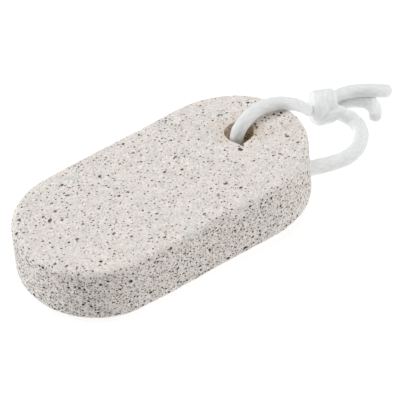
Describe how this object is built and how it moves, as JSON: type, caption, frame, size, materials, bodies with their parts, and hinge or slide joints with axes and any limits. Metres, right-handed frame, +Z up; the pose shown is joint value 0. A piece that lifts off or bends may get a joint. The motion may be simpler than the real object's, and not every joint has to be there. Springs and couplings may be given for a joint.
{
  "type": "pumice stone",
  "caption": "Flat, round-ended block of pumice for rubbing hard skin, with a knotted loop of white cotton cord through a hole near one end.",
  "frame": {"origin": "on the table, under the middle of the stone", "axes": "+Z up, +X along the stone towards the end with the hole, +Y across it, away from the side the picture shows in front"},
  "size_m": [0.147, 0.0503, 0.0305],
  "materials": {
    "pumice": "matt, warm off-white, full of small open gas bubbles with grey-brown insides",
    "cotton_cord": "soft white twisted cotton cord, slightly fuzzy"
  },
  "bodies": {
    "root": {"pumice_stone": "pumice", "cord_loop": "cotton_cord", "cord_knot": "cotton_cord", "cord_tail_long": "cotton_cord", "cord_tail_short": "cotton_cord"}
  },
  "joints": []
}
